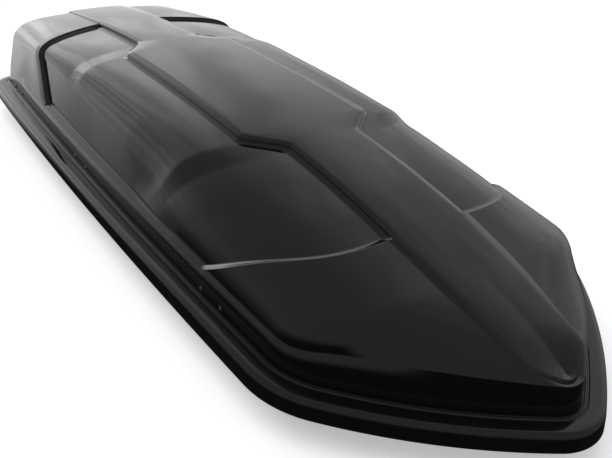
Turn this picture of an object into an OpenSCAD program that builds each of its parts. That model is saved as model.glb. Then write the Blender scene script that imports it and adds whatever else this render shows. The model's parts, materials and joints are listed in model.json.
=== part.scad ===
// Roof cargo box: thin glossy lid over a shallow base tray, hinged along its right side (-Y).
// Length runs along X with the pointed nose at +X, Z is up, the origin is under the middle
// of the box at the level of the tray's underside. All sizes in millimetres.

/* [Box] */
// Length over the lid's skirt
box_l = 2010; // [1900:10:2100]
// Widest width over the lid's skirt
box_w = 788; // [740:4:840]
// Height of the skirt's lower edge above the tray's underside
skirt_z = 58; // [50:1:70]
// Thickness of the moulded lid and tray
wall = 4; // [3:0.5:5]
// Height of the lid's top above the skirt's lower edge
lid_h = 268; // [240:1:300]

/* [Hinge] */
// Radius of the hinge pins
pin_r = 2.5; // [2:0.1:3]
// Outer radius of the hinge knuckles
knuckle_r = 5; // [4.5:0.1:5.5]
// Inset of the hinge line from the skirt's edge at the end hinges
hinge_inset = 14; // [13:0.5:16]

/* [Lock] */
// Radius of the turning knob
knob_r = 16; // [14:0.5:18]
// Travel of the lock bar over a quarter turn
bar_travel = 14; // [12:0.5:15]

/* [Mounting] */
// Length of each mounting slot, end to end
slot_l = 260; // [200:10:300]
// Width of each mounting slot
slot_w = 9; // [8:0.5:12]
// Distance between the rear and front slots, centre to centre
slot_span = 750; // [700:10:800]

/* [Hidden] */

$fn = 48;

// ---- plan outline: a chain of arcs, rear edge to nose, on the +Y side -------------------
half_w = box_w / 2;
widest_x = 1450;                  // where the sides are furthest apart, from the rear edge
rear_arc_r = 2600;
rear_corner_r = 72;
side_arc_r = 20000;
shoulder_r = 215;
nose_r = 100;
nose_turn = 147;                  // direction in which the nose's arc meets the flank's arc
flank_r = 1200;

function nrm(a) = [-cos(a), sin(a)];              // outward normal, 0 at the rear, 180 at nose
function plan_angle(v) = atan2(v[1], -v[0]);
rear_c = [rear_arc_r, 0];
side_c = [widest_x, half_w - side_arc_r];
nose_c = [box_l - nose_r, 0];
flank_c = nose_c - (flank_r - nose_r) * nrm(nose_turn);

// rear corner circle, tangent inside the rear arc and the side arc
rc_a = rear_arc_r - rear_corner_r;
rc_b = side_arc_r - rear_corner_r;
rc_v = side_c - rear_c;
rc_d = norm(rc_v);
rc_h = (rc_a * rc_a - rc_b * rc_b + rc_d * rc_d) / (2 * rc_d);
rc_k = sqrt(rc_a * rc_a - rc_h * rc_h);
rc_e = rc_v / rc_d;
corner_c = rear_c + rc_e * rc_h + rc_k * [rc_e[1], -rc_e[0]];

// shoulder circle, tangent inside the side arc and the nose flank's arc
sh_a = side_arc_r - shoulder_r;
sh_b = flank_r - shoulder_r;
sh_v = flank_c - side_c;
sh_d = norm(sh_v);
sh_h = (sh_a * sh_a - sh_b * sh_b + sh_d * sh_d) / (2 * sh_d);
sh_e = sh_v / sh_d;
shoulder_c = side_c + sh_e * sh_h + sqrt(sh_a * sh_a - sh_h * sh_h) * [sh_e[1], -sh_e[0]];

ang_rear = plan_angle(corner_c - rear_c);
ang_side = plan_angle(corner_c - side_c);
ang_shoulder = plan_angle(shoulder_c - side_c);
ang_flank = plan_angle(shoulder_c - flank_c);

// widths and heights that the lid's surface follows, x from the rear edge
ledge_inset = 51;                 // top of the lower wall, in from the skirt's edge
ledge_z = 86;
// the ledge rises round the shoulder and falls again towards the nose
function ledge_at(x) = lookup(x, [[1635, ledge_z], [1665, 91], [1695, 99], [1730, 104],
    [1790, 106], [1840, 104], [1890, 100], [1959, 91]]);
panel_depth = 8;                  // the side panels lie this far under the surface round them
strip_step = 6;                   // the middle strip stands this far over the panels
jog_rear = [565, 640];            // where the strip widens
jog_front = [1204, 1268];         // where it narrows again
panel_foot = [440, 1360];         // ends of the side panels at the ledge
panel_head = [300, 1593];         // and at the strip
function strip_half(x) = lookup(x, [[0, 93], [panel_head[0], 92], [jog_rear[0], 90],
    [jog_rear[1], 159], [jog_front[0], 166], [jog_front[1], 91], [panel_head[1], 91],
    [1915, 73]]);
function strip_top(x) = x > 750 ? lid_h - 65 * pow((x - 750) / 843, 2.7)
                                : lid_h - 46 * pow((750 - x) / 715, 2);
function strip_x(xl) = lookup(xl, [[51, 62], [66, 80], [133, 134],
    [panel_foot[0], panel_head[0]], [panel_foot[1], panel_head[1]], [1893, 1884],
    [box_l - ledge_inset, 1948]]);

// columns of the shell grids: [point on the skirt's edge, outward normal, panel or not]
function arc_col(c, r, a) = [c + r * nrm(a), nrm(a), 0];
function side_angle(x) = acos((widest_x - x) / (side_arc_r - ledge_inset));
function foot_of(x) = panel_foot[0] + (x - panel_head[0]) * (panel_foot[1] - panel_foot[0])
                      / (panel_head[1] - panel_head[0]);
step_run = 10;
side_x = concat([for (x = [200, 280, 355, panel_foot[0] - step_run]) [x, 0]],
    [for (x = [panel_foot[0], 530, foot_of(jog_rear[0]), foot_of(jog_rear[1]), 780, 880, 980,
               foot_of(jog_front[0]), foot_of(jog_front[1]), 1205, 1285, panel_foot[1]]) [x, 1]],
    [for (x = [panel_foot[1] + step_run, 1440, 1520, 1570]) [x, 0]]);
function cols() = concat(
    [for (i = [0:2]) arc_col(rear_c, rear_arc_r, ang_rear * i / 3)],
    [for (i = [0:5]) arc_col(corner_c, rear_corner_r, ang_rear + (ang_side - ang_rear) * i / 5)],
    [for (s = side_x) let (a = side_angle(s[0])) [side_c + side_arc_r * nrm(a), nrm(a), s[1]]],
    [for (i = [0:6]) arc_col(shoulder_c, shoulder_r,
                             ang_shoulder + (ang_flank - ang_shoulder) * i / 6)],
    [for (i = [1:5]) arc_col(flank_c, flank_r, ang_flank + (nose_turn - ang_flank) * i / 6)],
    [for (i = [0:4]) arc_col(nose_c, nose_r, nose_turn + (180 - nose_turn) * i / 4)]);
COLS = cols();
function shift(p, z) = [p[0] - box_l / 2, p[1], z + skirt_z];

// ---- lid surface -----------------------------------------------------------------------
skirt_rows = [[0, 0], [5, 25], [11, 33], [20, 35.5], [40, 36.5], [44, 41], [48, 66],
              [ledge_inset, ledge_z]];
dome_steps = 8;
function bez(t, a, b, c, d) = (1 - t) * (1 - t) * (1 - t) * a + 3 * t * (1 - t) * (1 - t) * b
                              + 3 * t * t * (1 - t) * c + t * t * t * d;
// points of one column from the ledge to the middle line of the lid
function dome(c) =
    let (foot = c[0] - c[1] * ledge_inset,
         xq = strip_x(foot[0]),
         yq = min(strip_half(xq), foot[1] * 0.93),
         zq = strip_top(xq) - strip_step,
         lean = lookup(foot[0], [[1560, 0], [1880, 0.22]]),
         base_z = ledge_at(foot[0]),
         dent = c[2] * panel_depth)
    concat(
        [for (i = [0:dome_steps]) let (t = i / dome_steps,
            u = bez(t, 0, 0.06 + lean, 0.25 + lean, 1),
            v = bez(t, 0, 0.7 - lean, 0.98 - lean / 2, 1),
            curl = lookup(foot[0], [[440, 1], [1360, 3]]),
            h = 1 - pow(1 - (i * 0.92 + u * dome_steps * 0.08) / dome_steps, curl),
            keep = c[2] * (1 - 0.6 * pow(t, 8)))
            shift([foot[0] + (xq - foot[0]) * h + c[1][0] * -(2 + dent * (1 - v)),
                   foot[1] + (yq - foot[1]) * u - c[1][1] * (2 + dent * keep * (1 - v)) * (1 - u)],
                  base_z + 1 + (zq - base_z - 1) * v - dent * v * keep)],
        [shift([xq, max(yq - 6, yq * 0.8)], strip_top(xq)),
         shift([xq, yq * 0.45], strip_top(xq) + 4),
         shift([lookup(xq, [[62, 84], [1948, 1930]]), 0],
               strip_top(xq) + lookup(xq, [[1860, 6], [1948, 1]]))]);
function lid_col(c) = let (lift = ledge_at((c[0] - c[1] * ledge_inset)[0]) - ledge_z)
    concat([for (r = skirt_rows) shift(c[0] - c[1] * r[0],
                r[1] + lift * max(r[1] - 41, 0) / (ledge_z - 41))], dome(c));

// ---- closed shells from a grid of half columns -------------------------------------------
function flip(p) = [p[0], -p[1], p[2]];
function at(g, i, j) = i < 0 ? flip(g[-i][j]) : i >= len(g) ? flip(g[2 * len(g) - 2 - i][j])
                       : g[i][j];
function unit3(v) = v / max(norm(v), 0.0001);
function normal_at(g, i, j) =
    let (rows = len(g[0]),
         du = at(g, i + 1, j) - at(g, i - 1, j),
         up = j == rows - 1 ? flip(at(g, i, j - 1)) : at(g, i, j + 1),
         dv = up - at(g, i, max(j - 1, 0)))
    unit3(cross(dv, du));
function inner_grid(g, t) = [for (i = [0:len(g) - 1]) [for (j = [0:len(g[0]) - 1])
    let (n = normal_at(g, i, j), p = g[i][j] - n * t)
    [p[0], (i == 0 || i == len(g) - 1 || j == len(g[0]) - 1) ? 0 : p[1],
     j == 0 ? g[i][j][2] : p[2]]]];

// a thin shell, open below: outer and inner grids joined along row 0 and closed on the
// middle line, which both halves share
module shell(outer, inner) {
    n = len(outer);
    rows = len(outer[0]) - 1;
    ring = 2 * n - 2;
    function half(k) = k < n ? k : ring - k;
    function pick(g, k, j) = k < n ? g[k][j] : flip(g[ring - k][j]);
    function flat(g) = concat([for (k = [0:ring - 1]) for (j = [0:rows - 1]) pick(g, k, j)],
                              [for (i = [0:n - 1]) g[i][rows]]);
    total = ring * rows + n;
    function idx(k, j) = j == rows ? ring * rows + half(k % ring) : (k % ring) * rows + j;
    pts = concat(flat(outer), flat(inner));
    outer_f = [for (k = [0:ring - 1]) for (j = [0:rows - 1])
        let (a = idx(k, j), b = idx(k, j + 1), c = idx(k + 1, j + 1), d = idx(k + 1, j))
        each concat([[a, d, c]], (b == c || a == b) ? [] : [[a, c, b]])];
    inner_f = [for (f = outer_f) [total + f[0], total + f[2], total + f[1]]];
    rim_f = [for (k = [0:ring - 1])
        let (a = idx(k, 0), d = idx(k + 1, 0))
        each [[a, total + a, total + d], [a, total + d, d]]];
    polyhedron(pts, concat(outer_f, inner_f, rim_f), convexity = 8);
}

// a ring swept round the outline: section is a closed list of [inset, z]
module swept_ring(section) {
    n = len(COLS);
    ring = 2 * n - 2;
    m = len(section);
    function col(k) = [for (s = section) let (i = k < n ? k : ring - k,
        p = shift(COLS[i][0] - COLS[i][1] * s[0], s[1])) k < n ? p : flip(p)];
    pts = [for (k = [0:ring - 1]) each col(k)];
    faces = [for (k = [0:ring - 1]) for (j = [0:m - 1])
        let (a = k * m + j, b = k * m + (j + 1) % m, c = ((k + 1) % ring) * m + (j + 1) % m,
             d = ((k + 1) % ring) * m + j)
        each [[a, d, c], [a, c, b]]];
    polyhedron(pts, faces, convexity = 8);
}

// ---- places --------------------------------------------------------------------------------
function side_y(x) = side_c[1] + sqrt(side_arc_r * side_arc_r - pow(x - side_c[0], 2));
function side_turn(x) = asin((widest_x - x) / side_arc_r);
hinge_x = [186, 738, 1405];
hinge_z = 8;
axis_turn = atan((side_y(hinge_x[2]) - side_y(hinge_x[0])) / (hinge_x[2] - hinge_x[0]));
function axis_inset(x) = side_y(x) - (side_y(hinge_x[0]) - hinge_inset
                         + (x - hinge_x[0]) * tan(axis_turn));

// frame on the hinge line: X along it, Y into the box, Z up
module on_axis(x) {
    translate([x - box_l / 2, -side_y(x) + axis_inset(x), hinge_z + skirt_z])
        rotate([0, 0, -axis_turn]) children();
}

// frame at the right side's outline: X along it, Y into the box, Z from the skirt's edge
module at_right(x) {
    translate([x - box_l / 2, -side_y(x), skirt_z]) rotate([0, 0, -side_turn(x)]) children();
}

// frame at the left side's outline: X along it, Y out of the box
module at_left(x) {
    translate([x - box_l / 2, side_y(x), skirt_z]) rotate([0, 0, side_turn(x)]) children();
}

// ---- lid -----------------------------------------------------------------------------------
lock_x = 930;
lock_z = 62;
wall_slope = atan((ledge_inset - 44) / (ledge_z - 41));
function wall_inset(z) = 44 + (z - 41) * tan(wall_slope);
module at_lock() {
    at_left(lock_x) translate([0, -wall_inset(lock_z), lock_z]) rotate([wall_slope, 0, 0])
        children();
}

module lid_shell() {
    color([0.03, 0.03, 0.035]) difference() {
        shell(LID, LID_IN);
        at_lock() rotate([-90, 0, 0]) cylinder(r = bezel_r, h = 40, center = true);
        for (x = hinge_x) at_rivets(x) for (s = [-1, 1])
            translate([s * rivet_gap / 2, -10, 0]) rotate([-90, 0, 0])
                cylinder(r = rivet_r, h = 20);
    }
}
LID = [for (c = COLS) lid_col(c)];
LID_IN = inner_grid(LID, wall);

beam_w = 52;
beam_sheet = 2.5;
beam_depth = 14;
// a pressed hat-section stiffener that follows the underside of the roof
module lid_beam(x) {
    top = strip_top(x) + skirt_z;
    b = side_y(x) - ledge_inset;
    arch = [[-b + 52, top - 76], [-b + 112, top - 44], [b - 112, top - 44], [b - 52, top - 76]];
    function down(d) = [for (p = arch) [p[0], p[1] - d]];
    function back(l) = [for (i = [len(l) - 1:-1:0]) l[i]];
    module band(d0, d1, w) {
        translate([0, 0, -w / 2]) linear_extrude(w) polygon(concat(down(d0), back(down(d1))));
    }
    translate([x - box_l / 2, 0, 0]) rotate([90, 0, 90]) difference() {
        union() {
            band(0, beam_sheet, beam_w);
            band(0, beam_depth, beam_w - 24);
        }
        band(-1, beam_depth - beam_sheet, beam_w - 24 - 2 * beam_sheet);
    }
}
module lid_beam_rear() { color([0.1, 0.1, 0.1]) lid_beam(470); }
module lid_beam_front() { color([0.1, 0.1, 0.1]) lid_beam(1130); }

// ---- base tray -------------------------------------------------------------------------------
rim_inset = 32;
rim_top = 19;
tray_outer = [[84, -skirt_z], [76, -skirt_z + 3], [38, -24], [rim_inset, -16],
              [rim_inset, rim_top]];
tray_inner = [[rim_inset + wall, rim_top], [rim_inset + wall, -17], [43, -26],
              [78, -skirt_z + 6.5], [86, -skirt_z + wall]];
slot_mid_x = 975;
slot_y = [190, 270];
module base_shell() {
    color([0.06, 0.06, 0.06]) difference() {
        tray();
        for (sx = [-1, 1], y = slot_y, sy = [-1, 1])
            translate([slot_mid_x - box_l / 2 + sx * slot_span / 2, sy * y, -1]) slot();
        for (x = hinge_x) at_right(x) for (s = [-1, 1])
            translate([s * rivet_gap / 2, 25, base_rivet_z]) rotate([-90, 0, 0])
                cylinder(r = rivet_r, h = 18);
        for (x = keeper_x) at_left(lock_x + x) for (s = [-1, 1])
            translate([s * 8, -rim_inset, base_rivet_z]) rotate([-90, 0, 0])
                cylinder(r = rivet_r, h = 20, center = true);
    }
}
module slot() {
    for (s = [-1, 1]) translate([s * (slot_l - slot_w) / 2, 0, 0]) cylinder(d = slot_w, h = 8);
    translate([-(slot_l - slot_w) / 2, -slot_w / 2, 0]) cube([slot_l - slot_w, slot_w, 8]);
}
module tray() {
    n = len(COLS);
    ring = 2 * n - 2;
    rows = concat(tray_outer, tray_inner);
    m = len(rows);
    function col(k) = [for (s = rows) let (i = k < n ? k : ring - k,
        p = shift(COLS[i][0] - COLS[i][1] * s[0], s[1])) k < n ? p : flip(p)];
    pts = [for (k = [0:ring - 1]) each col(k)];
    faces = concat(
        [for (k = [0:ring - 1]) for (j = [0:m - 2])
            let (a = k * m + j, b = a + 1, d = ((k + 1) % ring) * m + j, c = d + 1)
            each [[a, d, c], [a, c, b]]],
        [[for (k = [ring - 1:-1:0]) k * m]],
        [[for (k = [0:ring - 1]) k * m + m - 1]]);
    polyhedron(pts, faces, convexity = 8);
}
module rim_seal() {
    lip = 1.5;
    color([0.02, 0.02, 0.02]) swept_ring([[rim_inset - lip, 9], [rim_inset - lip, 23],
        [rim_inset + wall / 2, 25.5], [rim_inset + wall + lip, 23], [rim_inset + wall + lip, 9],
        [rim_inset + wall, 9], [rim_inset + wall, rim_top], [rim_inset, rim_top],
        [rim_inset, 9]]);
}

rail_x = [420, 1530];
rail_y = 230;
rail_z = wall;
rail_rivets_x = [450, 800, 1150, 1500];
module rail() {
    translate([rail_x[0] - box_l / 2, 0, rail_z]) rotate([90, 0, 90])
        difference() {
            linear_extrude(rail_x[1] - rail_x[0]) polygon([[-26, 0], [-26, 1.5], [-16, 1.5],
                [-12, 12], [12, 12], [16, 1.5], [26, 1.5], [26, 0], [14.5, 0], [10.5, 10.5],
                [-10.5, 10.5], [-14.5, 0]]);
            for (x = rail_rivets_x) translate([21, -2, x - rail_x[0]]) rotate([-90, 0, 0])
                cylinder(r = 2, h = 6);
        }
}
module base_rail_left() {
    color([0.6, 0.6, 0.62]) translate([0, rail_y, 0]) rail();
}
module base_rail_right() {
    color([0.6, 0.6, 0.62]) translate([0, -rail_y, 0]) mirror([0, 1, 0]) rail();
}
module base_rail_rivets() {
    color([0.7, 0.7, 0.72]) for (x = rail_rivets_x, s = [-1, 1])
        translate([x - box_l / 2, s * (rail_y + 21), rail_z]) {
            cylinder(r = 2, h = 1.5);
            translate([0, 0, 1.5]) cylinder(r1 = 4.5, r2 = 3, h = 1.8);
        }
}

// ---- hinges ------------------------------------------------------------------------------------
hinge_w = 100;
end_knuckle = 18;
axial_gap = 0.5;
rivet_gap = 74;
rivet_r = 2.4;
rivet_z = 46;
base_rivet_z = -6;
plate = 2.5;
hang_gap = 1.2;                   // sealing washer's room between the wall and an arm
bracket_gap = 0.6;
// frame on the lid's lower wall at the hinge rivets: Y into the box, square to the wall
module at_rivets(x) {
    at_right(x) translate([0, wall_inset(rivet_z), rivet_z]) rotate([-wall_slope, 0, 0])
        children();
}
module hinge_base_brackets() {
    color([0.25, 0.25, 0.26]) for (x = hinge_x) {
        g = rim_inset - axis_inset(x);
        at_right(x) difference() {
            translate([-hinge_w / 2, rim_inset - plate - bracket_gap, -14]) cube([hinge_w, plate, 22]);
            for (s = [-1, 1]) translate([s * rivet_gap / 2, 20, base_rivet_z])
                rotate([-90, 0, 0]) cylinder(r = rivet_r, h = 20);
        }
        on_axis(x) for (s = [-1, 1]) difference() {
            union() {
                translate([s * (hinge_w - end_knuckle) / 2, 0, 0]) rotate([0, 90, 0])
                    cylinder(r = knuckle_r, h = end_knuckle, center = true);
                translate([s * (hinge_w - end_knuckle) / 2 - end_knuckle / 2, 0, -knuckle_r])
                    cube([end_knuckle, g - plate / 2, plate]);
            }
            translate([s * hinge_w / 2, 0, 0]) rotate([0, 90, 0])
                cylinder(r = pin_r, h = hinge_w, center = true);
        }
    }
}
module hinge_lid_arms() {
    arm_w = hinge_w - 2 * end_knuckle - 2 * axial_gap;
    arm_z = 26.5;
    back = wall_inset(arm_z) + wall + hang_gap;
    color([0.25, 0.25, 0.26]) for (x = hinge_x) {
        on_axis(x) difference() {
            union() {
                rotate([0, 90, 0]) cylinder(r = knuckle_r, h = arm_w, center = true);
                translate([-arm_w / 2, -plate / 2, 3])
                    cube([arm_w, plate, arm_z + plate - hinge_z - 3]);
                translate([-arm_w / 2, -plate / 2, arm_z - hinge_z])
                    cube([arm_w, back + plate - axis_inset(x), plate]);
            }
            rotate([0, 90, 0]) cylinder(r = pin_r + 0.05, h = hinge_w, center = true);
        }
        at_rivets(x) difference() {
            translate([-hinge_w / 2, wall + hang_gap, arm_z - rivet_z + 1])
                cube([hinge_w, plate, 41]);
            for (s = [-1, 1]) translate([s * rivet_gap / 2, 0, 0])
                rotate([-90, 0, 0]) cylinder(r = rivet_r, h = 20);
        }
    }
}
module hinge_pins() {
    color([0.7, 0.7, 0.72]) for (x = hinge_x) on_axis(x) {
        rotate([0, 90, 0]) cylinder(r = pin_r, h = hinge_w + 1, center = true);
        for (s = [-1, 1]) translate([s * (hinge_w / 2 + 1), 0, 0]) rotate([0, 90, 0])
            cylinder(r = pin_r + 1.2, h = 2, center = true);
    }
}
module rivet(len) {
    rotate([-90, 0, 0]) {
        cylinder(r = rivet_r, h = len);
        translate([0, 0, -1.6]) cylinder(r1 = 3, r2 = 4.8, h = 1.6);
        translate([0, 0, len]) cylinder(r1 = 3.6, r2 = 2.6, h = 2);
    }
}
module hinge_lid_rivets() {
    outside = 0.4;
    color([0.05, 0.05, 0.05]) for (x = hinge_x) at_rivets(x) for (s = [-1, 1])
        translate([s * rivet_gap / 2, -outside, 0]) rivet(outside + wall + hang_gap + plate);
}
module hinge_base_rivets() {
    outside = rim_inset - plate - bracket_gap;
    color([0.6, 0.6, 0.62]) for (x = hinge_x) at_right(x) for (s = [-1, 1])
        translate([s * rivet_gap / 2, outside, base_rivet_z]) rivet(plate + wall + 2 * bracket_gap);
}

// ---- lid stays ---------------------------------------------------------------------------------
stay_x = [330, 1250];
stay_foot = [84, -30];            // lower pivot, from the hinge line
stay_head = [74, 100];            // upper pivot, from the hinge line, lid closed
stay_len = norm(stay_head - stay_foot);
stay_tilt = atan2(stay_head[1] - stay_foot[1], stay_head[0] - stay_foot[0]);
cyl_r = 9;
rod_r = 4;
stay_pin_r = 2.5;
eye_w = 8;
head_eye_r = 6.6;                 // room for the head to swing round its pin
ear_gap = 11;
module along_stay(x) {
    on_axis(x) translate([0, stay_foot[0], stay_foot[1]]) rotate([stay_tilt - 90, 0, 0])
        children();
}
module stay_cylinder(x) {
    color([0.08, 0.08, 0.08]) along_stay(x) difference() {
        union() {
            rotate([0, 90, 0]) cylinder(r = 6.5, h = eye_w, center = true);
            translate([0, 0, 4]) cylinder(r = 4, h = 4);
            translate([0, 0, 7]) cylinder(r1 = 4, r2 = cyl_r, h = 6);
            translate([0, 0, 13]) cylinder(r = cyl_r, h = 79);
            translate([0, 0, 92]) cylinder(r1 = cyl_r, r2 = cyl_r - 2, h = 3);
        }
        rotate([0, 90, 0]) cylinder(r = stay_pin_r + 0.05, h = 30, center = true);
        translate([0, 0, 15]) cylinder(r = rod_r + 0.05, h = 90);
    }
}
module stay_rod(x) {
    color([0.75, 0.75, 0.77]) along_stay(x) {
        translate([0, 0, 18]) cylinder(r = rod_r, h = stay_len - 18 - head_eye_r - 0.5);
        translate([0, 0, stay_len]) difference() {
            rotate([0, 90, 0]) cylinder(r = head_eye_r + 2.8, h = eye_w, center = true);
            rotate([0, 90, 0]) cylinder(r = head_eye_r, h = 30, center = true);
        }
    }
}
module stay_cylinder_rear() { stay_cylinder(stay_x[0]); }
module stay_cylinder_front() { stay_cylinder(stay_x[1]); }
module stay_rod_rear() { stay_rod(stay_x[0]); }
module stay_rod_front() { stay_rod(stay_x[1]); }

module stay_base_brackets() {
    foot_z = wall - skirt_z - hinge_z;
    color([0.25, 0.25, 0.26]) for (x = stay_x) on_axis(x) translate([0, stay_foot[0], 0])
        difference() {
            union() {
                for (s = [-1, 1]) translate([s * (ear_gap / 2 + 1), 0, 0]) {
                    translate([-1, -5.5, foot_z]) cube([2, 11, stay_foot[1] - foot_z]);
                    translate([0, 0, stay_foot[1]]) rotate([0, 90, 0])
                        cylinder(r = 5.5, h = 2, center = true);
                }
                translate([-ear_gap / 2 - 2, -9, foot_z]) cube([ear_gap + 4, 38, 2]);
            }
            translate([0, 0, stay_foot[1]]) rotate([0, 90, 0])
                cylinder(r = stay_pin_r, h = 40, center = true);
        }
}
module stay_pin() {
    rotate([0, 90, 0]) cylinder(r = stay_pin_r, h = ear_gap + 4, center = true);
    for (s = [-1, 1]) translate([s * (ear_gap / 2 + 3), 0, 0]) rotate([0, 90, 0])
        cylinder(r = stay_pin_r + 1.5, h = 2, center = true);
}
module stay_base_pins() {
    color([0.7, 0.7, 0.72]) for (x = stay_x) on_axis(x)
        translate([0, stay_foot[0], stay_foot[1]]) stay_pin();
}
module stay_lid_brackets() {
    color([0.25, 0.25, 0.26]) for (x = stay_x) on_axis(x)
        translate([0, stay_head[0], stay_head[1]]) difference() {
            union() {
                for (s = [-1, 1]) translate([s * (ear_gap / 2 + 1), 0, 0]) {
                    translate([-1, -17, -6]) cube([2, 17, 12]);
                    rotate([0, 90, 0]) cylinder(r = 6, h = 2, center = true);
                }
                translate([-20, -17, -12]) cube([40, 2, 26]);
            }
            rotate([0, 90, 0]) cylinder(r = stay_pin_r, h = 40, center = true);
        }
}
module stay_lid_pins() {
    color([0.7, 0.7, 0.72]) for (x = stay_x) on_axis(x)
        translate([0, stay_head[0], stay_head[1]]) stay_pin();
}

// ---- lock: knob outside, cam, sliding bar with hooks, keepers on the tray -----------------------
bezel_r = 20;
shaft_r = 6;
bar_y = -20;                      // the bar's middle, inside the wall
bar_h = 18;
bar_t = 2;
bar_half = 470;
cam_r = bar_travel / (2 * sin(45));
cam_pin_r = 3;
keeper_x = [-380, 60, 400];
finger_z = 20;
module lock_bezel() {
    color([0.05, 0.05, 0.05]) at_lock() rotate([-90, 0, 0]) difference() {
        union() {
            translate([0, 0, -9]) cylinder(r = bezel_r - 0.1, h = 10);
            translate([0, 0, 0.8]) cylinder(r1 = bezel_r + 3, r2 = bezel_r + 1.5, h = 2.2);
        }
        translate([0, 0, -10]) cylinder(r = shaft_r + 0.05, h = 20);
    }
}
module lock_knob() {
    color([0.1, 0.1, 0.1]) at_lock() rotate([-90, 0, 0]) difference() {
        union() {
            translate([0, 0, -15]) cylinder(r = shaft_r, h = 20);
            translate([0, 0, 3.4]) cylinder(r = knob_r, h = 6);
            translate([0, 0, 9.4]) cylinder(r1 = knob_r, r2 = knob_r - 2, h = 2);
            translate([-knob_r + 2.5, -5.5, 11]) cube([2 * knob_r - 5, 11, 8]);
        }
        cylinder(r = 4.55, h = 30);
    }
}
module lock_barrel() {
    color([0.7, 0.7, 0.72]) at_lock() rotate([-90, 0, 0]) difference() {
        cylinder(r = 4.5, h = 19);
        translate([-0.6, -3, 14]) cube([1.2, 6, 6]);
    }
}
module lock_cam() {
    color([0.7, 0.7, 0.72]) at_lock() rotate([-90, 0, 0]) {
        translate([0, 0, bar_y + 2]) cylinder(r = shaft_r, h = -bar_y - 17);
        hull() {
            translate([0, 0, bar_y + 2]) cylinder(r = shaft_r + 1, h = 3);
            rotate([0, 0, 45]) translate([0, cam_r, bar_y + 2]) cylinder(r = cam_pin_r + 1.5, h = 3);
        }
        rotate([0, 0, 45]) translate([0, cam_r, bar_y - 3]) cylinder(r = cam_pin_r, h = 7);
    }
}
module lock_bar() {
    leg_x = [for (x = keeper_x) x - 26];
    color([0.55, 0.55, 0.57]) at_lock() {
        difference() {
            translate([-bar_half, bar_y - bar_t / 2, -cam_r - bar_h / 2 + 1])
                cube([2 * bar_half, bar_t, bar_h]);
            translate([cam_r * sin(45) * -1, bar_y, 0]) cam_slot();
        }
        for (x = leg_x) {
            translate([x, bar_y - bar_t / 2, -lock_z + 12]) cube([9, bar_t, lock_z - 12 - cam_r]);
            translate([x, bar_y - bar_t / 2, -lock_z + 12]) cube([23, bar_t, 4]);
        }
    }
}
module cam_slot() {
    half = cam_pin_r + 0.6;
    translate([-half, -5, -cam_r - 1.2]) cube([2 * half, 10, cam_r - cam_r * cos(45) + 2.4]);
    for (z = [-cam_r - 1.2, -cam_r * cos(45) + 1.2]) translate([0, 0, z]) rotate([90, 0, 0])
        cylinder(r = half, h = 10, center = true);
}
module lock_housing() {
    case_w = 64;
    color([0.08, 0.08, 0.08]) at_lock() difference() {
        translate([-case_w / 2, bar_y - 12, -30]) cube([case_w, 21, 52]);
        translate([-case_w / 2 + 2, bar_y - 10, -28]) cube([case_w - 4, 17, 48]);
        translate([-case_w, bar_y - bar_t / 2 - 1, -cam_r - bar_h / 2 - 0.5])
            cube([2 * case_w, bar_t + 2, bar_h + 3]);
        rotate([-90, 0, 0]) translate([0, 0, -25]) cylinder(r = shaft_r + 1, h = 30);
    }
}
module lock_bar_guides() {
    color([0.08, 0.08, 0.08]) at_lock() for (x = [-300, -120, 150, 330])
        translate([x, 0, 0]) difference() {
            translate([-9, bar_y - 5, -cam_r - bar_h / 2 - 3]) cube([18, 8, bar_h + 8]);
            translate([-10, bar_y - bar_t / 2 - 0.6, -cam_r - bar_h / 2 + 0.4])
                cube([20, bar_t + 1.2, bar_h + 1.2]);
        }
}
module lock_keepers() {
    color([0.6, 0.6, 0.62]) for (x = keeper_x) at_left(lock_x + x) difference() {
        union() {
            translate([-14, -rim_inset - wall - 2.3, -15]) cube([28, 2, 22]);
            translate([0, -rim_inset - wall - 5, 5]) cube([14, 4, 2]);
            translate([0, -rim_inset - wall - 5, 5]) cube([14, 2, finger_z - 3]);
            translate([0, -78, finger_z]) cube([14, 37, 2]);
        }
        for (s = [-1, 1]) translate([s * 8, -rim_inset, base_rivet_z]) rotate([-90, 0, 0])
            cylinder(r = rivet_r, h = 20, center = true);
    }
}
module keeper_rivets() {
    color([0.6, 0.6, 0.62]) for (x = keeper_x) at_left(lock_x + x) for (s = [-1, 1])
        translate([s * 8, -rim_inset + 0.3, base_rivet_z]) mirror([0, 1, 0])
            rivet(wall + 2 + 0.6);
}

// ---- load straps ---------------------------------------------------------------------------------
strap_x = [600, 1350];
strap_half = 150;
strap_w = 25;
strap_t = 2;
module strap_anchors() {
    color([0.5, 0.5, 0.52]) for (x = strap_x, s = [-1, 1])
        translate([x - box_l / 2, s * strap_half, wall]) difference() {
            union() {
                translate([-20, -10, 0]) cube([40, 20, 2]);
                for (q = [-1, 1]) translate([q * 17 - 2, -3, 0]) cube([4, 6, 14]);
                translate([-19, 0, 12]) rotate([0, 90, 0]) cylinder(r = 3, h = 38);
            }
            translate([0, s * 7, -1]) cylinder(r = 1.6, h = 6);
        }
}
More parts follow.
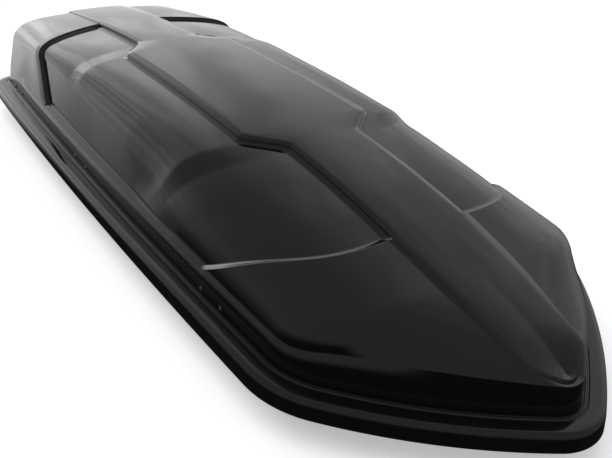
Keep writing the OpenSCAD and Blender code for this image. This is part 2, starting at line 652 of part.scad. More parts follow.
// webbing lying over the tray's floor, its ends standing up round the anchors' bars
module strap(x) {
    arc_r = 3.4;
    lift = 0.3;
    end = strap_half - 16;
    color([0.12, 0.12, 0.13]) translate([x - box_l / 2, 0, wall]) rotate([90, 0, 90])
        translate([0, 0, -strap_w / 2]) linear_extrude(strap_w) difference() {
            union() {
                translate([-end, lift]) square([2 * end, strap_t]);
                for (s = [-1, 1]) {
                    translate([s * strap_half, 12]) circle(r = arc_r + strap_t);
                    polygon([[s * (end - 4), lift], [s * (end - 4), lift + strap_t],
                             [s * (strap_half - arc_r), 12 + arc_r],
                             [s * (strap_half - 1), 12 - arc_r - strap_t + 0.4]]);
                }
            }
            for (s = [-1, 1]) translate([s * strap_half, 12]) circle(r = arc_r);
        }
}
module strap_rear() { strap(strap_x[0]); }
module strap_front() { strap(strap_x[1]); }
module strap_buckles() {
    color([0.05, 0.05, 0.05]) for (x = strap_x)
        translate([x - box_l / 2 - strap_w / 2 - 4, 20, wall + 0.3 + strap_t]) {
            cube([strap_w + 8, 34, 3]);
            translate([2, 4, 3]) cube([strap_w + 4, 22, 5]);
        }
}

lid_shell();
base_shell();
rim_seal();
base_rail_left();
base_rail_right();
base_rail_rivets();
lid_beam_rear();
lid_beam_front();
hinge_base_brackets();
hinge_lid_arms();
hinge_pins();
hinge_lid_rivets();
hinge_base_rivets();
stay_cylinder_rear();
stay_cylinder_front();
stay_rod_rear();
stay_rod_front();
stay_base_brackets();
stay_base_pins();
stay_lid_brackets();
stay_lid_pins();
lock_bezel();
lock_housing();
lock_knob();
lock_barrel();
lock_cam();
lock_bar();
lock_bar_guides();
lock_keepers();
keeper_rivets();
strap_anchors();
strap_rear();
strap_front();
strap_buckles();
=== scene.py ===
# Roof cargo box: looks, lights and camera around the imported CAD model. Sizes of the lid's
# skin are in millimetres from the rear edge, as in the CAD, and become metres in place().
import json
import math

import bpy
import bmesh
import numpy as np
from mathutils import Matrix, Vector


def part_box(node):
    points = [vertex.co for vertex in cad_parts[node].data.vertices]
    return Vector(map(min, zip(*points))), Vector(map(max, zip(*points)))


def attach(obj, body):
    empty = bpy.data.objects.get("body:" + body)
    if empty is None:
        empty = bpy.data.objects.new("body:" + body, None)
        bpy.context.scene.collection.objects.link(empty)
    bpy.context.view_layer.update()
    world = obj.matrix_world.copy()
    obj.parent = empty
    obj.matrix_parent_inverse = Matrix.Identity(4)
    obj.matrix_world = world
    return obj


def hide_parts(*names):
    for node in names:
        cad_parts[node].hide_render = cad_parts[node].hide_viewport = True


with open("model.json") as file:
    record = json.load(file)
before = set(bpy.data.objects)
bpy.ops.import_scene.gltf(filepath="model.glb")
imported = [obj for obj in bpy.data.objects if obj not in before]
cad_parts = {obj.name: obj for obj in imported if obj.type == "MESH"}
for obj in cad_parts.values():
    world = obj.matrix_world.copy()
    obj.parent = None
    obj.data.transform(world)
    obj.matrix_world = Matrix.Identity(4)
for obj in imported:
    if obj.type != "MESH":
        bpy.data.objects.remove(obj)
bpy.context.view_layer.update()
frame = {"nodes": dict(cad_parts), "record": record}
NODES = frame["nodes"]
SLOT_OF = {n["node"]: n["material_slot"] for n in frame["record"]["subparts"]}

# ---------------------------------------------------------------- plan outline
BOX_L, BOX_W, SKIRT_Z, LID_H = 2010.0, 788.0, 58.0, 268.0
HALF_W = BOX_W / 2
WIDEST_X = 1450.0
REAR_R, CORNER_R, SIDE_R, SHOULDER_R, NOSE_R = 2600.0, 72.0, 20000.0, 215.0, 100.0
FLANK_R, NOSE_TURN = 1200.0, math.radians(147)
# columns of the mesh on each arc of the outline
REAR_COLS, CORNER_COLS, SHOULDER_COLS, FLANK_COLS, NOSE_COLS = 22, 26, 26, 34, 16


def outward(angle):
    """Direction in plan: 0 is the rear, 90 degrees the left side, 180 the nose."""
    return np.array([-math.cos(angle), math.sin(angle)])


def plan_angle(v):
    """The angle that outward() takes to point along v."""
    return math.atan2(v[1], -v[0])


REAR_C = np.array([REAR_R, 0.0])
SIDE_C = np.array([WIDEST_X, HALF_W - SIDE_R])
NOSE_C = np.array([BOX_L - NOSE_R, 0.0])
FLANK_C = NOSE_C - (FLANK_R - NOSE_R) * outward(NOSE_TURN)


def tangent_centre(c1, r1, c2, r2, r):
    """Centre of the circle of radius r that touches two larger circles from inside."""
    a, b = r1 - r, r2 - r
    v = c2 - c1
    d = np.linalg.norm(v)
    h = (a * a - b * b + d * d) / (2 * d)
    e = v / d
    return c1 + e * h + math.sqrt(a * a - h * h) * np.array([e[1], -e[0]])


CORNER_C = tangent_centre(REAR_C, REAR_R, SIDE_C, SIDE_R, CORNER_R)
SHOULDER_C = tangent_centre(SIDE_C, SIDE_R, FLANK_C, FLANK_R, SHOULDER_R)
A_REAR = plan_angle(CORNER_C - REAR_C)
A_SIDE = plan_angle(CORNER_C - SIDE_C)
A_SHOULDER = plan_angle(SHOULDER_C - SIDE_C)
A_FLANK = plan_angle(SHOULDER_C - FLANK_C)

# ---------------------------------------------------------------- lid surface
LEDGE_INSET, LEDGE_Z = 51.0, 86.0
WALL_Z = 42.0  # foot of the lower wall, above the grooves
PANEL_FOOT, PANEL_HEAD = (440.0, 1360.0), (300.0, 1593.0)  # its ends at the ledge and the strip
JOG_REAR, JOG_FRONT = (565.0, 640.0), (1204.0, 1268.0)  # where the strip's width changes
PANEL_DEPTH = 8.0
PANEL_STEP = 9.0  # half the run of the step at a panel's front end, and the rear end's whole run
STRIP_PROUD = 4.0
STRIP_SPAN = (62.0, 1948.0)
MIDDLE_SPAN = (80.0, 1934.0)  # the same ends on the middle line, where they are bowed inwards
HIGHEST_X, REAR_RUN = 750.0, 715.0
FRONT_FALL, REAR_FALL, TIP_FALL, CROWN = 65, 46, 6, 6
LEAST_WIDTH = 0.6  # share of the strip's width that its step always leaves
SKIN = 3.6  # thickness of the lid's shell

# tables of (x, value), read by along()
STRIP_PLAN = [(0, 93), (PANEL_HEAD[0], 92), (JOG_REAR[0], 90), (JOG_REAR[1], 159),
              (JOG_FRONT[0], 166), (JOG_FRONT[1], 91), (PANEL_HEAD[1], 91), (1915, 73)]
LEDGE_TO_STRIP = [(LEDGE_INSET, STRIP_SPAN[0]), (66, 80), (133, 134),
                  (PANEL_FOOT[0], PANEL_HEAD[0]), (PANEL_FOOT[1], PANEL_HEAD[1]),
                  (1893, 1884), (BOX_L - LEDGE_INSET, STRIP_SPAN[1])]
LEDGE_HEIGHTS = [(1635, LEDGE_Z), (1665, 91), (1695, 99), (1730, 104), (1790, 106),
                 (1840, 104), (1890, 100), (1959, 91)]
CREASE_HEIGHTS = [(51, 150), (300, 190), (440, 208), (600, 210), (700, 203), (830, 188),
                  (925, 178), (996, 162), (1050, 148), (1150, 114), (1225, LEDGE_Z + 2)]


def along(x, table):
    """Value at x on the line through a table's points."""
    places, values = zip(*table)
    return np.interp(x, places, values)


def smooth(x, a, b):
    """0 up to a, 1 from b on, with soft ends between them."""
    t = np.clip((x - a) / (b - a), 0, 1)
    return t * t * (3 - 2 * t)


def foot_of(x):
    """x at the ledge of the line that meets the strip at x, by the panel's two ends."""
    return PANEL_FOOT[0] + (x - PANEL_HEAD[0]) * (PANEL_FOOT[1] - PANEL_FOOT[0]) / (
        PANEL_HEAD[1] - PANEL_HEAD[0])


def strip_half(x):
    """Half width of the middle strip, its corners a little rounded."""
    around = np.linspace(-9, 9, 7)
    return np.mean([along(x + d, STRIP_PLAN) for d in around], axis=0)


def strip_top(x):
    """Height of the strip: it falls to both ends, and once more at the nose's tip."""
    ahead = np.maximum(x - HIGHEST_X, 0) / (PANEL_HEAD[1] - HIGHEST_X)
    behind = np.maximum(HIGHEST_X - x, 0) / REAR_RUN
    front = LID_H - FRONT_FALL * ahead ** 2.7 - TIP_FALL * smooth(x, 1895, 1952)
    return np.where(x > HIGHEST_X, front, LID_H - REAR_FALL * behind ** 2)


def side_samples():
    """x of the side's columns: close together at the panel's ends and the strip's jogs."""
    reach, pitch = 12, 1.2
    fine = []
    for end in PANEL_FOOT:
        fine += list(np.arange(end - reach, end + reach + 0.1, pitch))
    for a, b in (JOG_REAR, JOG_FRONT):
        fine += list(np.linspace(foot_of(a) - 14, foot_of(b) + 14, 26))
    plain = np.arange(170.0, 1600.0, 13.0)
    least_gap = 5
    keep = [x for x in plain if all(abs(x - f) > least_gap for f in fine)]
    return np.array(sorted(keep + fine))


def columns():
    """Point on the skirt's edge and outward normal, from the rear's middle to the nose."""
    pts, normals = [], []

    def arc(centre, r, angles):
        for a in angles:
            pts.append(centre + r * outward(a))
            normals.append(outward(a))

    ledge_r = SIDE_R - LEDGE_INSET
    first_x, last_x = ((SIDE_C + ledge_r * outward(a))[0] for a in (A_SIDE, A_SHOULDER))
    gap = 6
    xs = side_samples()
    xs = xs[(xs > first_x + gap) & (xs < last_x - gap)]
    arc(REAR_C, REAR_R, np.linspace(0, A_REAR, REAR_COLS))
    arc(CORNER_C, CORNER_R, np.linspace(A_REAR, A_SIDE, CORNER_COLS)[1:])
    arc(SIDE_C, SIDE_R, [math.acos((WIDEST_X - x) / ledge_r) for x in xs])
    arc(SHOULDER_C, SHOULDER_R, np.linspace(A_SHOULDER, A_FLANK, SHOULDER_COLS))
    arc(FLANK_C, FLANK_R, np.linspace(A_FLANK, NOSE_TURN, FLANK_COLS)[1:-1])
    arc(NOSE_C, NOSE_R, np.linspace(NOSE_TURN, math.pi, NOSE_COLS))
    return np.array(pts), np.array(normals)


def rounded(points, radii, steps):
    """A polyline with its inner corners rounded, each in the same number of steps."""
    out = [points[0]]
    for i in range(1, len(points) - 1):
        p, r = points[i], radii[i]
        if r <= 0:
            out.append(p)
            continue
        a, b = points[i - 1] - p, points[i + 1] - p
        la, lb = np.linalg.norm(a), np.linalg.norm(b)
        cut = min(r, la * 0.49, lb * 0.49)
        pa, pb = p + a / la * cut, p + b / lb * cut
        for t in np.linspace(0, 1, steps + 1):
            out.append((1 - t) ** 2 * pa + 2 * t * (1 - t) * p + t * t * pb)
    out.append(points[-1])
    return np.array(out)


def bezier(t, a, b, c, d):
    return (1 - t) ** 3 * a + 3 * t * (1 - t) ** 2 * b + 3 * t * t * (1 - t) * c + t ** 3 * d


# (inwards, up, corner radius): the rim, the flare, the flat with its grooves, the lower wall
SKIRT = [(0.6, 0, 0), (0, 1.2, 0), (3.4, 29.5, 6), (8.8, 35.8, 5), (33.2, 36.6, 1.2),
         (34.2, 34.6, 1), (36.8, 34.7, 1), (37.8, 37.0, 1), (40.4, 37.2, 1),
         (41.4, 35.6, 1), (43.2, 35.9, 1.2), (44.4, WALL_Z, 3), (47.6, 66, 4),
         (LEDGE_INSET, LEDGE_Z, 0)]
SKIRT_ROWS = rounded(np.array([(a, b) for a, b, r in SKIRT]), [r for a, b, r in SKIRT], 3)
DOME_ROWS, CREASE_ROW, CROWN_ROWS = 46, 16, 12


def skirt_part(pts, normals, xl):
    """Rows of the skirt and the lower wall, which is as high as the ledge is at xl."""
    rise = along(xl, LEDGE_HEIGHTS) - LEDGE_Z
    rows = []
    for inward, up in SKIRT_ROWS:
        lift = rise * max(up - WALL_Z, 0) / (LEDGE_Z - WALL_Z)
        rows.append(np.column_stack([pts - normals * inward, up + lift]))
    return np.stack(rows, axis=1)


def ledge_width(xl):
    """Extra width of the ledge along the side, the most beside the panel's rear half."""
    wide = 2 + 5 * smooth(xl, 400, 460) * (1 - smooth(xl, 1000, 1160))
    return wide * (smooth(xl, 180, 330) * (1 - smooth(xl, 1700, 1850)))


def section(xl, wide, high, rise):
    """One cross section, as shares of the way in and up: flat to the crease, then rounded."""
    full_rise, lean, least_wide = 60, 15, 160
    t = np.linspace(0, 1, DOME_ROWS)
    flat = np.clip(rise / full_rise, 0, 1)
    crease_u, crease_v = lean * flat / max(wide, least_wide), rise / high
    crease_t = flat * CREASE_ROW / (DOME_ROWS - 1)
    below = np.clip(t / max(crease_t, 1e-6), 0, 1)
    above = np.clip((t - crease_t) / (1 - crease_t), 0, 1)
    pull_1 = along(xl, [(440, 0.04), (600, 0.12), (1000, 0.1), (1200, 0.04)])
    pull_2 = along(xl, [(440, 0.2), (900, 0.3), (1360, 0.24)])
    round_u = crease_u + (1 - crease_u) * bezier(above, 0, pull_1, pull_2, 1)
    round_v = crease_v + (1 - crease_v) * bezier(above, 0, 0.76, 0.97, 1)
    u = np.where(above > 0, round_u, crease_u * below)
    v = np.where(above > 0, round_v, crease_v * below)
    # towards the nose the section comes close to a straight line from the ledge to the strip
    tip = 0.7 * smooth(xl, 1580, 1880)
    return u + (t - u) * tip, v + (t - v) * tip, tip


def plain_dome(start, xl, strip_x, strip_y):
    """Rows from the ledge to the strip's foot, before the panels are sunk into them."""
    foot_z = along(xl, LEDGE_HEIGHTS) + 1
    head_z = strip_top(strip_x) - STRIP_PROUD
    crease = along(xl, CREASE_HEIGHTS) - LEDGE_Z - 1
    curl = along(xl, [(PANEL_FOOT[0], 1.2), (PANEL_FOOT[1], 3)])
    dome = np.zeros((len(xl), DOME_ROWS, 3))
    for i, (x0, y0) in enumerate(start):
        way_x, way_y = strip_x[i] - x0, strip_y[i] - y0
        wide, high = math.hypot(way_x, way_y), head_z[i] - foot_z[i]
        u, v, tip = section(xl[i], wide, high, min(crease[i], high * 0.86))
        run = np.concatenate([[0], np.cumsum(np.hypot(np.diff(u) * wide, np.diff(v) * high))])
        # the columns lean along the box low down and run straight across near the strip
        h = 1 - (1 - run / run[-1]) ** curl[i]
        h += (u - h) * tip
        dome[i] = np.column_stack([x0 + way_x * h, y0 + way_y * u, foot_z[i] + high * v])
    return dome


def unit(n):
    """Vectors of length 1, or of none where they had none."""
    return n / np.maximum(np.linalg.norm(n, axis=2, keepdims=True), 1e-9)


def with_panels(dome, xl):
    """The dome with its sides sunk between the panel's ends."""
    n = unit(np.cross(np.gradient(dome, axis=1), np.gradient(dome, axis=0)))
    rear, front = PANEL_FOOT
    after_rear = smooth(xl, rear - PANEL_STEP / 2, rear + PANEL_STEP / 2)
    inside = after_rear * (1 - smooth(xl, front - PANEL_STEP, front + PANEL_STEP))
    return dome - n * (PANEL_DEPTH * inside)[:, None, None]


def strip_part(strip_x, strip_y, foot_z):
    """Rows of the strip: a small rounded step, then a gentle crown to the middle line."""
    top = strip_top(strip_x)
    least = strip_y * LEAST_WIDTH
    rows = []
    for inward, lift in ((0.9, 0.55), (1.62, 0.85), (2.88, 1.0)):
        y = np.maximum(strip_y - inward, least)
        rows.append(np.column_stack([strip_x, y, foot_z + (top - foot_z) * lift]))
    middle_x = np.interp(strip_x, STRIP_SPAN, MIDDLE_SPAN)
    crown = CROWN * (1 - smooth(strip_x, 1860, 1950))
    for f in np.linspace(0.85, 0, CROWN_ROWS):
        x = middle_x + (strip_x - middle_x) * f
        y = np.maximum(strip_y - 3, least) * f
        rows.append(np.column_stack([x, y, top + crown * (1 - f * f)]))
    return np.stack(rows, axis=1)


def lid_grid():
    """Rows of points for the outer skin: grid[column, row] = x, y, z."""
    pts, normals = columns()
    foot = pts - normals * LEDGE_INSET
    xl = foot[:, 0]
    strip_x = along(xl, LEDGE_TO_STRIP)
    strip_y = np.minimum(strip_half(strip_x), foot[:, 1] * 0.93)
    start = foot - normals * ledge_width(xl)[:, None]
    dome = with_panels(plain_dome(start, xl, strip_x, strip_y), xl)
    skirt = skirt_part(pts, normals, xl)
    strip = strip_part(strip_x, strip_y, dome[:, -1, 2])
    return np.concatenate([skirt, dome, strip], axis=1)


def place(v):
    """From millimetres ahead of the rear edge to metres in the shared frame."""
    v = np.array(v, dtype=float)
    return (v + np.array([-BOX_L / 2, 0, SKIRT_Z])) * 0.001


def mirrored(grid):
    """The whole ring of columns: the left half, then its mirror image back to the rear."""
    flip = grid[-2:0:-1] * np.array([1, -1, 1])
    return np.concatenate([grid, flip])


def offset_grid(ring, t):
    """Ring of columns moved inwards by t along smoothed normals."""
    du = np.roll(ring, -1, axis=0) - np.roll(ring, 1, axis=0)
    n = unit(np.cross(np.gradient(ring, axis=1), du))
    for _ in range(2):
        n[:, 1:-1] = (n[:, :-2] + 2 * n[:, 1:-1] + n[:, 2:]) / 4
        n = unit((np.roll(n, 1, axis=0) + 2 * n + np.roll(n, -1, axis=0)) / 4)
    return ring - n * t


def link_mesh(name, mesh):
    """A smooth-shaded object of this mesh in the scene."""
    ob = bpy.data.objects.new(name, mesh)
    bpy.context.scene.collection.objects.link(ob)
    mesh.shade_smooth()
    return ob


def ring_mesh(name, outer, inner):
    """Closed shell between two rings of columns, joined along row 0. The last row of each
    ring is the middle line, where a column meets its mirror image."""
    ring, rows = outer.shape[:2]
    half = ring // 2
    verts, index = [], []
    for g in (outer, inner):
        idx = np.zeros((ring, rows), int)
        for j in range(rows):
            for k in range(ring):
                if j == rows - 1 and k > half:
                    idx[k, j] = idx[ring - k, j]
                else:
                    idx[k, j] = len(verts)
                    p = g[k, j].copy()
                    if j == rows - 1 or k in (0, half):
                        p[1] = 0
                    verts.append(p)
        index.append(idx)
    faces = []
    for s, idx in enumerate(index):
        for k in range(ring):
            q = (k + 1) % ring
            for j in range(rows - 1):
                f = [idx[k, j], idx[q, j], idx[q, j + 1], idx[k, j + 1]]
                f = [v for i, v in enumerate(f) if v not in f[:i]]
                if len(f) > 2:
                    faces.append(f if s == 0 else f[::-1])
    for k in range(ring):
        q = (k + 1) % ring
        faces.append([index[0][q, 0], index[0][k, 0], index[1][k, 0], index[1][q, 0]])
    me = bpy.data.meshes.new(name)
    me.from_pydata([tuple(p) for p in place(verts)], [], faces)
    me.validate()
    me.update()
    bm = bmesh.new()
    bm.from_mesh(me)
    bmesh.ops.recalc_face_normals(bm, faces=bm.faces)
    bm.to_mesh(me)
    bm.free()
    return link_mesh(name, me)


# ---------------------------------------------------------------- materials
def material(name, rough, metallic, base):
    """A new material with its node tree and shader."""
    m = bpy.data.materials.new(name)
    m.use_nodes = True
    p = m.node_tree.nodes["Principled BSDF"]
    p.inputs["Base Color"].default_value = (*base, 1)
    p.inputs["Roughness"].default_value = rough
    p.inputs["Metallic"].default_value = metallic
    return m, m.node_tree, p


def object_way(tree):
    """The place on the object, in its own metres."""
    return tree.nodes.new("ShaderNodeTexCoord").outputs["Object"]


def noise(tree, scale, detail=3.0, stretch=None):
    """Cloudy noise fixed to the object, stretched along one axis if asked."""
    n = tree.nodes.new("ShaderNodeTexNoise")
    n.inputs["Scale"].default_value = scale
    n.inputs["Detail"].default_value = detail
    out = object_way(tree)
    if stretch:
        mp = tree.nodes.new("ShaderNodeMapping")
        mp.inputs["Scale"].default_value = stretch
        tree.links.new(out, mp.inputs["Vector"])
        out = mp.outputs["Vector"]
    tree.links.new(out, n.inputs["Vector"])
    return n.outputs["Fac"]


def ramp(tree, fac, lo, hi, a=0.3, b=0.7):
    """fac from a to b becomes lo to hi."""
    r = tree.nodes.new("ShaderNodeMapRange")
    r.inputs["From Min"].default_value = a
    r.inputs["From Max"].default_value = b
    r.inputs["To Min"].default_value = lo
    r.inputs["To Max"].default_value = hi
    tree.links.new(fac, r.inputs["Value"])
    return r.outputs["Result"]


def bump(tree, shader, height, strength, distance, below=None):
    """Relief on the shader's normal, over an earlier bump if there is one."""
    b = tree.nodes.new("ShaderNodeBump")
    b.inputs["Strength"].default_value = strength
    b.inputs["Distance"].default_value = distance
    tree.links.new(height, b.inputs["Height"])
    if below is not None:
        tree.links.new(below, b.inputs["Normal"])
    tree.links.new(b.outputs["Normal"], shader.inputs["Normal"])
    return b.outputs["Normal"]


def colour_between(tree, shader, fac, a, b):
    """The shader's colour goes from a to b with fac."""
    mix = tree.nodes.new("ShaderNodeMix")
    mix.data_type = "RGBA"
    mix.inputs["A"].default_value = (*a, 1)
    mix.inputs["B"].default_value = (*b, 1)
    tree.links.new(fac, mix.inputs["Factor"])
    tree.links.new(mix.outputs["Result"], shader.inputs["Base Color"])


def math_node(tree, op, a, b=0.0):
    """One step of arithmetic on sockets or numbers."""
    n = tree.nodes.new("ShaderNodeMath")
    n.operation = op
    for i, v in enumerate((a, b)):
        if isinstance(v, (int, float)):
            n.inputs[i].default_value = v
        else:
            tree.links.new(v, n.inputs[i])
    return n.outputs[0]


def gloss_black():
    """Thermoformed gloss sheet: slow changes of gloss, fine orange peel and soft waves."""
    m, t, p = material("gloss_black", 0.1, 0, (0.0028, 0.0029, 0.0033))
    t.links.new(ramp(t, noise(t, 7), 0.05, 0.12), p.inputs["Roughness"])
    a = bump(t, p, noise(t, 260, 2), 0.03, 0.0004)
    bump(t, p, noise(t, 11, 2), 0.07, 0.002, a)
    p.inputs["IOR"].default_value = 1.5
    return m


def plastic(name, colour, rough, grain, grain_size, coat=0.0):
    """Moulded or painted black: fine grain, slow changes of gloss, a little dust in colour."""
    m, t, p = material(name, rough, 0, colour)
    t.links.new(ramp(t, noise(t, 14, 5), rough * 0.8, min(rough * 1.3, 1)), p.inputs["Roughness"])
    dust = [c * 2.2 + 0.004 for c in colour]
    colour_between(t, p, ramp(t, noise(t, 22, 6), 0, 0.7, 0.45, 0.8), colour, dust)
    fine = t.nodes.new("ShaderNodeTexVoronoi")
    fine.inputs["Scale"].default_value = grain_size
    t.links.new(object_way(t), fine.inputs["Vector"])
    a = bump(t, p, fine.outputs["Distance"], grain, 0.0006)
    bump(t, p, noise(t, 60, 3), 0.08, 0.001, a)
    p.inputs["Coat Weight"].default_value = coat
    p.inputs["Coat Roughness"].default_value = 0.2
    return m


def metal(name, colour, rough, stretch=(0.12, 1, 1), scratch=0.12):
    """Plated or drawn metal: rubbed streaks in gloss and height, a little tarnish."""
    m, t, p = material(name, rough, 1, colour)
    streaks = noise(t, 180, 4, stretch)
    t.links.new(ramp(t, streaks, rough * 0.7, rough * 1.5), p.inputs["Roughness"])
    tarnish = [c * 0.62 for c in colour]
    colour_between(t, p, ramp(t, noise(t, 30, 6), 0, 0.8, 0.5, 0.75), colour, tarnish)
    a = bump(t, p, streaks, scratch, 0.0002)
    bump(t, p, noise(t, 35, 2), 0.1, 0.0008, a)
    return m


def webbing():
    """Woven polyester: ribs across and along the strap."""
    m, t, p = material("webbing", 0.8, 0, (0.012, 0.012, 0.014))
    waves = []
    for axis, scale in (("X", 260), ("Y", 200)):
        w = t.nodes.new("ShaderNodeTexWave")
        w.bands_direction = axis
        w.inputs["Scale"].default_value = scale
        w.inputs["Distortion"].default_value = 0.6
        w.inputs["Detail Scale"].default_value = 3
        t.links.new(object_way(t), w.inputs["Vector"])
        waves.append(w.outputs["Fac"])
    weave = math_node(t, "MULTIPLY", waves[0], waves[1])
    colour_between(t, p, weave, (0.006, 0.006, 0.007), (0.035, 0.035, 0.038))
    t.links.new(ramp(t, noise(t, 90, 3), 0.7, 0.9), p.inputs["Roughness"])
    bump(t, p, weave, 0.7, 0.0005)
    p.inputs["Sheen Weight"].default_value = 0.3
    return m


MATS = {
    "gloss_black": gloss_black(),
    "tray_black": plastic("tray_black", (0.011, 0.011, 0.012), 0.5, 0.5, 700),
    "satin_black": plastic("satin_black", (0.009, 0.009, 0.01), 0.34, 0.25, 1100),
    "seal_rubber": plastic("seal_rubber", (0.007, 0.007, 0.007), 0.7, 0.3, 500),
    "rivet_black": plastic("rivet_black", (0.012, 0.012, 0.013), 0.25, 0.15, 900, 0.5),
    "black_steel": plastic("black_steel", (0.012, 0.012, 0.013), 0.42, 0.35, 1600, 0.25),
    "zinc_steel": metal("zinc_steel", (0.60, 0.61, 0.60), 0.3),
    "beam_alu": metal("beam_alu", (0.63, 0.64, 0.66), 0.34, (1, 0.06, 1), 0.2),
    "rod_chrome": metal("rod_chrome", (0.75, 0.76, 0.78), 0.09, (1, 1, 0.1), 0.03),
    "webbing": webbing(),
}


# ---------------------------------------------------------------- pieces
def lid_skin():
    """The lid's shell as one closed mesh, finer than the CAD's."""
    outer = mirrored(lid_grid())
    inner = offset_grid(outer, SKIN)
    inner[:, 0, 2] = 0
    ob = ring_mesh("lid_skin", outer, inner)
    ob.data.materials.append(MATS["gloss_black"])
    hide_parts("lid_shell")
    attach(ob, "lid")


def dress_nodes():
    """Gives every CAD node that stays the material of its slot in the record."""
    for name, ob in NODES.items():
        mat = MATS.get(SLOT_OF.get(name))
        if mat is None:
            continue
        for s in ob.material_slots:
            s.link = "OBJECT"
            s.material = mat


# load straps: webbing 25 mm wide, looped round the anchors' bars and lying on the floor
STRAP_W, STRAP_T = 0.025, 0.0016
BAR_Y, BAR_Z, LOOP_R = 0.150, 0.016, 0.0042
FLOOR_Z, SLOPE_L = 0.0051, 0.034
RIPPLE, RIPPLE_RATE = 0.0003, 70
# places across the webbing, and how much of its thickness is left at the edges
ACROSS, EDGE_THICK = (-1, -0.94, -0.5, 0, 0.5, 0.94, 1), 0.45


def strap_line():
    """The strap's middle line in y and z, from its sewn end under one bar to the other."""
    half = []
    for degrees in np.linspace(200, -80, 20)[::-1]:
        a = math.radians(degrees)
        half.append((BAR_Y + LOOP_R * math.cos(a), BAR_Z + LOOP_R * math.sin(a)))
    top_y, top_z = half[-1]
    for t in np.linspace(0, 1, 16)[1:]:
        half.append((top_y - SLOPE_L * t, top_z + (FLOOR_Z - top_z) * t * t * (3 - 2 * t)))
    for y in np.linspace(half[-1][0], 0, 22)[1:]:
        half.append((y, FLOOR_Z + RIPPLE * math.sin(y * RIPPLE_RATE)))
    return half + [(-y, z) for y, z in half[-2::-1]]


def strap(node, name):
    """One load strap in place of a CAD strap, laid on the tray's floor."""
    lo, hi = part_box(node)
    middle_x = (lo[0] + hi[0]) / 2
    line = strap_line()
    bm = bmesh.new()
    rows = []
    for i, (y, z) in enumerate(line):
        a, b = line[max(i - 1, 0)], line[min(i + 1, len(line) - 1)]
        d = Vector((0, b[0] - a[0], b[1] - a[1])).normalized()
        n = Vector((0, -d[2], d[1]))
        ring = []
        for side in (1, -1):
            for u in ACROSS[::side]:
                thick = EDGE_THICK if abs(u) == 1 else 1.0
                middle = Vector((middle_x + u * STRAP_W / 2, y, z))
                ring.append(bm.verts.new(middle + n * side * thick * STRAP_T / 2))
        rows.append(ring)
    m = len(rows[0])
    for r, q in zip(rows, rows[1:]):
        for j in range(m):
            bm.faces.new((r[j], r[(j + 1) % m], q[(j + 1) % m], q[j]))
    bm.faces.new(rows[0][::-1])
    bm.faces.new(rows[-1])
    bmesh.ops.recalc_face_normals(bm, faces=bm.faces)
    me = bpy.data.meshes.new(name)
    bm.to_mesh(me)
    bm.free()
    me.materials.append(MATS["webbing"])
    ob = link_mesh(name, me)
    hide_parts(node)
    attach(ob, "base")


lid_skin()
dress_nodes()
strap("strap_rear", "webbing_rear")
strap("strap_front", "webbing_front")

# ---------------------------------------------------------------- scene
CAM_AT = (1.4249, -0.9233, 0.946)
CAM_AZ, CAM_EL, CAM_ROLL = math.radians(52.484), math.radians(30.263), math.radians(3.7525)
CAM_LENS, CAM_SENSOR = 45.17, 36.0


def camera():
    """The photo's view, as fitted to the outline and the lid's heights."""
    cd = bpy.data.cameras.new("cam")
    cd.lens, cd.sensor_width = CAM_LENS, CAM_SENSOR
    cam = bpy.data.objects.new("cam", cd)
    bpy.context.scene.collection.objects.link(cam)
    d = Vector((-math.sin(CAM_AZ) * math.cos(CAM_EL), math.cos(CAM_AZ) * math.cos(CAM_EL),
                -math.sin(CAM_EL)))
    right = Vector((math.cos(CAM_AZ), math.sin(CAM_AZ), 0))
    up = right.cross(d)
    x = right * math.cos(CAM_ROLL) + up * math.sin(CAM_ROLL)
    y = up * math.cos(CAM_ROLL) - right * math.sin(CAM_ROLL)
    cam.matrix_world = Matrix((x, y, -d)).transposed().to_4x4()
    cam.location = CAM_AT
    cd.clip_start, cd.clip_end = 0.01, 100
    bpy.context.scene.camera = cam


FLOOR_SIZE, FLOOR_GAP = 60, 0.0005


def floor():
    """A white floor that fades into the background and isn't mirrored in the box."""
    bm = bmesh.new()
    bmesh.ops.create_grid(bm, x_segments=2, y_segments=2, size=FLOOR_SIZE)
    me = bpy.data.meshes.new("floor")
    bm.to_mesh(me)
    bm.free()
    ob = bpy.data.objects.new("floor", me)
    bpy.context.scene.collection.objects.link(ob)
    ob.location.z = -FLOOR_GAP
    m, _, p = material("floor_white", 0.9, 0, (0.9, 0.9, 0.9))
    p.inputs["Emission Color"].default_value = (1, 1, 1, 1)
    p.inputs["Emission Strength"].default_value = 0.4
    p.inputs["Specular IOR Level"].default_value = 0.0
    me.materials.append(m)
    ob.visible_glossy = False


def smooth_step(t, value, lo, hi, a, b):
    """value from a to b becomes lo to hi, with soft ends."""
    r = t.nodes.new("ShaderNodeMapRange")
    r.interpolation_type = "SMOOTHSTEP"
    for k, v in (("From Min", a), ("From Max", b), ("To Min", lo), ("To Max", hi)):
        r.inputs[k].default_value = v
    t.links.new(value, r.inputs["Value"])
    return r.outputs["Result"]


# soft boxes of the studio: (azimuth, elevation, strength, cosine where it ends, power)
SOFT_BOXES = [(180, 4, 1.8, 0.62, 2.4), (118, 22, 0.50, 0.62, 1.6)]
OVERHEAD, BELOW = 0.36, 0.015
# heights on the unit sphere between which the sky and the soft boxes come up
SKY_FADE, BOX_FADE = (-0.45, 0.1), (-0.45, -0.2)


def towards(azimuth, elevation):
    """Direction of a place in the studio, both angles in degrees."""
    az, el = math.radians(azimuth), math.radians(elevation)
    return math.cos(el) * math.cos(az), math.cos(el) * math.sin(az), math.sin(el)


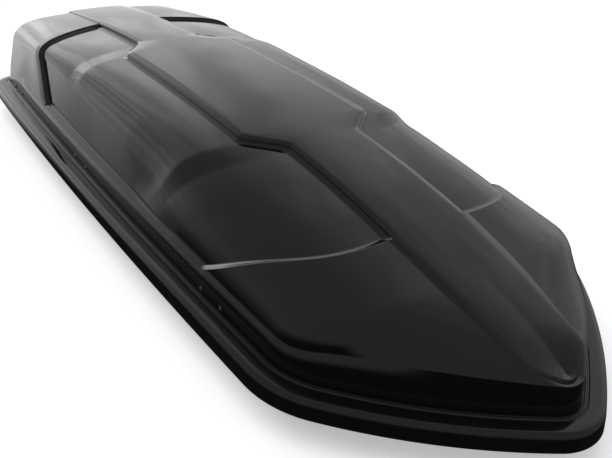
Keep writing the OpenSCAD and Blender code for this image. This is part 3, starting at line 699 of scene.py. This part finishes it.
def soft_box(tree, way, azimuth, elevation, strength, edge, power):
    """Light of one soft box: brightest at its middle, gone where the cosine is edge."""
    dot = tree.nodes.new("ShaderNodeVectorMath")
    dot.operation = "DOT_PRODUCT"
    tree.links.new(way, dot.inputs[0])
    dot.inputs[1].default_value = towards(azimuth, elevation)
    part = math_node(tree, "SUBTRACT", dot.outputs["Value"], edge)
    part = math_node(tree, "MAXIMUM", part, 0.0)
    part = math_node(tree, "DIVIDE", part, 1 - edge)
    part = math_node(tree, "POWER", part, power)
    return math_node(tree, "MULTIPLY", part, strength)


def lights():
    """World: a pale sky, the mottled soft boxes and, for the camera, plain white. Then a sun."""
    w = bpy.data.worlds.new("studio")
    bpy.context.scene.world = w
    w.use_nodes = True
    t = w.node_tree
    bg = t.nodes["Background"]
    way = t.nodes.new("ShaderNodeTexCoord").outputs["Generated"]
    sep = t.nodes.new("ShaderNodeSeparateXYZ")
    t.links.new(way, sep.inputs["Vector"])
    total = smooth_step(t, sep.outputs["Z"], BELOW, OVERHEAD, *SKY_FADE)
    cut = smooth_step(t, sep.outputs["Z"], 0.0, 1.0, *BOX_FADE)
    # the soft boxes are mottled a little, like light through cloth
    cloud = t.nodes.new("ShaderNodeTexNoise")
    cloud.inputs["Scale"].default_value = 6
    cloud.inputs["Detail"].default_value = 4
    t.links.new(way, cloud.inputs["Vector"])
    cut = math_node(t, "MULTIPLY", cut, ramp(t, cloud.outputs["Fac"], 0.72, 1.22, 0.42, 0.58))
    for box in SOFT_BOXES:
        part = math_node(t, "MULTIPLY", soft_box(t, way, *box), cut)
        total = math_node(t, "ADD", total, part)
    # plain white where the camera sees it directly
    seen = t.nodes.new("ShaderNodeLightPath").outputs["Is Camera Ray"]
    total = math_node(t, "MAXIMUM", total, seen)
    bg.inputs["Color"].default_value = (1, 1, 1, 1)
    t.links.new(total, bg.inputs["Strength"])
    sun = bpy.data.lights.new("key", "SUN")
    sun.energy, sun.angle = 1.2, math.radians(60)
    ob = bpy.data.objects.new("key", sun)
    bpy.context.scene.collection.objects.link(ob)
    ob.rotation_euler = (math.radians(20), math.radians(-15), 0)
    ob.visible_glossy = False


camera()
floor()
lights()
bpy.context.scene.view_settings.view_transform = "Standard"
